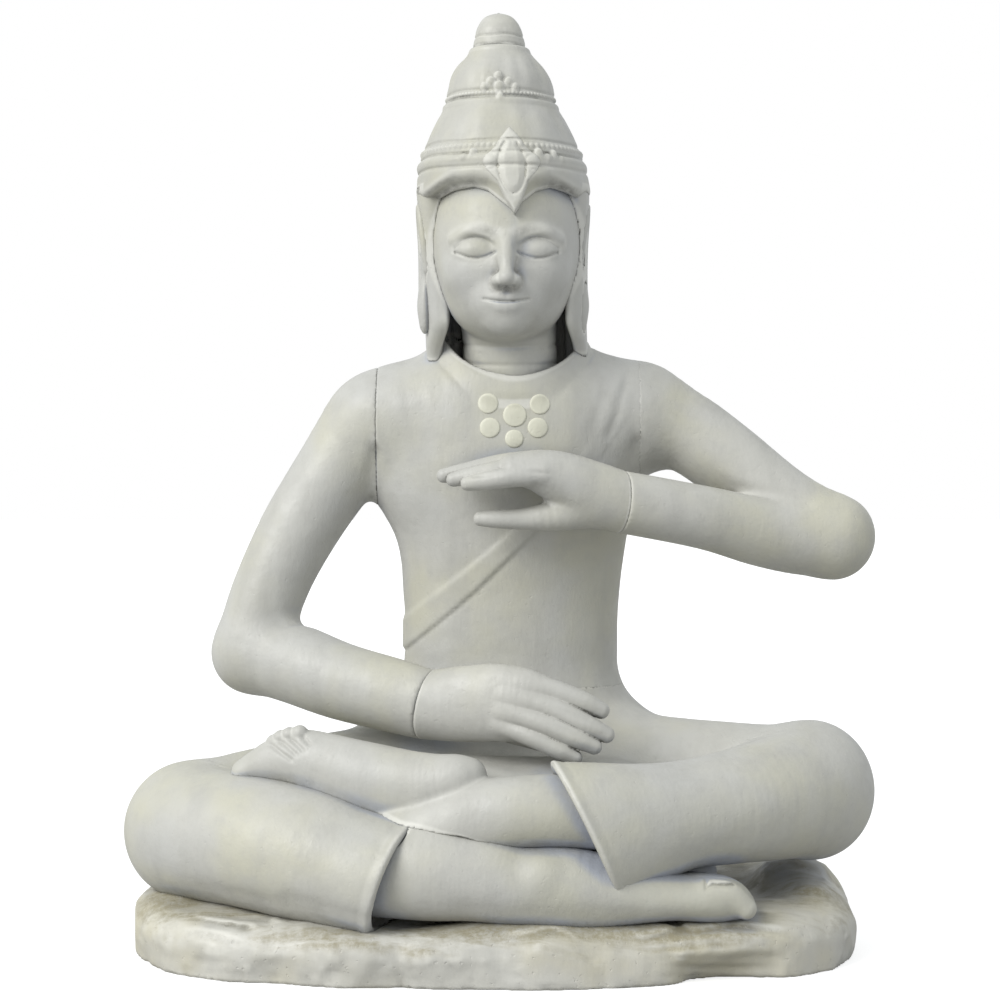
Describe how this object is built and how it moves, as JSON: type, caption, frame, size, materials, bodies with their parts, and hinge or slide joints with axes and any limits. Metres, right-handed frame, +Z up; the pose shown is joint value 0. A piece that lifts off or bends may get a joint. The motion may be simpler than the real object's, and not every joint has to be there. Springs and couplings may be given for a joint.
{
  "type": "buddha statue",
  "caption": "Seated cross-legged cast stone figure with a tall tiered headdress, one hand raised before the chest, on an irregular rock slab; sections pinned with dowels.",
  "frame": {"origin": "on the flat underside of the rock slab, below the middle of the figure", "axes": "+Z up; the figure faces -Y; its own right side is -X"},
  "size_m": [0.479, 0.2603, 0.6],
  "materials": {
    "figure_stone": "smooth honed pale grey cast stone with darker patina in the creases",
    "slab_stone": "rough rock-textured pale grey cast stone with ochre patina",
    "medallion_stone": "smooth, slightly creamier cast stone",
    "dowel_steel": "plain stainless rod"
  },
  "bodies": {
    "root": {"chest_medallions": "medallion_stone", "crown_plaque": "figure_stone", "finial": "figure_stone", "finial_dowel": "dowel_steel", "head": "figure_stone", "head_cloth": "figure_stone", "headdress": "figure_stone", "headdress_dowel": "dowel_steel", "left_ankle_dowel": "dowel_steel", "left_arm": "figure_stone", "left_foot": "figure_stone", "left_hand": "figure_stone", "left_leg": "figure_stone", "left_leg_dowel": "dowel_steel", "left_shoulder_dowel": "dowel_steel", "left_wrist_dowel": "dowel_steel", "neck_dowel": "dowel_steel", "right_ankle_dowel": "dowel_steel", "right_arm": "figure_stone", "right_foot": "figure_stone", "right_hand": "figure_stone", "right_leg": "figure_stone", "right_leg_dowel": "dowel_steel", "right_shoulder_dowel": "dowel_steel", "right_wrist_dowel": "dowel_steel", "rock_slab": "slab_stone", "seat": "figure_stone", "slab_dowels": "dowel_steel", "torso": "figure_stone", "torso_dowels": "dowel_steel"}
  },
  "joints": []
}
